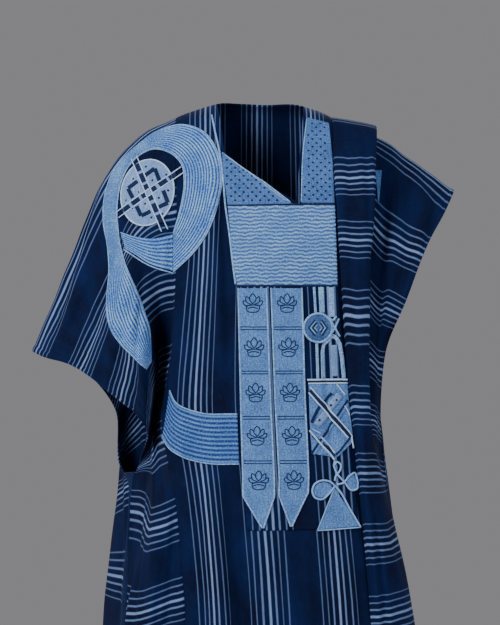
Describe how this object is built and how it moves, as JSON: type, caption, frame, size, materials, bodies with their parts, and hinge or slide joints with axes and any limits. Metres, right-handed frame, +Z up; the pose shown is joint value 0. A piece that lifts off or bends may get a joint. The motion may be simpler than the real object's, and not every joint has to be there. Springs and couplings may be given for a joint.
{
  "type": "grand boubou robe",
  "caption": "Grand boubou of striped indigo cloth with embroidered light blue panels, open neck and wide sleeves, in its hollow worn form.",
  "frame": {"origin": "midway between the two neck points, where the wearer's shoulders hold the robe", "axes": "+Z up, the front faces -Y, the wearer's left sleeve is at +X"},
  "size_m": [0.864, 0.3775, 1.3885],
  "materials": {
    "indigo_strip_cloth": "matt hand-woven cotton in indigo with groups of pale blue warp stripes",
    "light_blue_cloth": "matt light blue cotton, stitched",
    "ribbed_embroidery": "rows of corded light blue embroidery with a slight sheen",
    "pale_embroidery": "pale grey blue embroidery thread"
  },
  "bodies": {
    "root": {"front_panel": "indigo_strip_cloth", "back_panel": "indigo_strip_cloth", "sleeve_right": "indigo_strip_cloth", "sleeve_left": "indigo_strip_cloth", "pocket_panel": "indigo_strip_cloth", "neck_yoke": "light_blue_cloth", "shoulder_band": "light_blue_cloth", "neck_piping": "pale_embroidery", "chest_block": "ribbed_embroidery", "tab_right": "light_blue_cloth", "tab_left": "light_blue_cloth", "knot_medallion": "light_blue_cloth", "column_bar": "pale_embroidery", "lattice_patch": "light_blue_cloth", "triangle_patch": "light_blue_cloth", "leaf_right": "light_blue_cloth", "leaf_left": "light_blue_cloth", "waist_band": "ribbed_embroidery", "swirl_ring": "ribbed_embroidery", "swirl_band": "ribbed_embroidery", "swirl_tail": "ribbed_embroidery", "egg_patch": "pale_embroidery"}
  },
  "joints": []
}
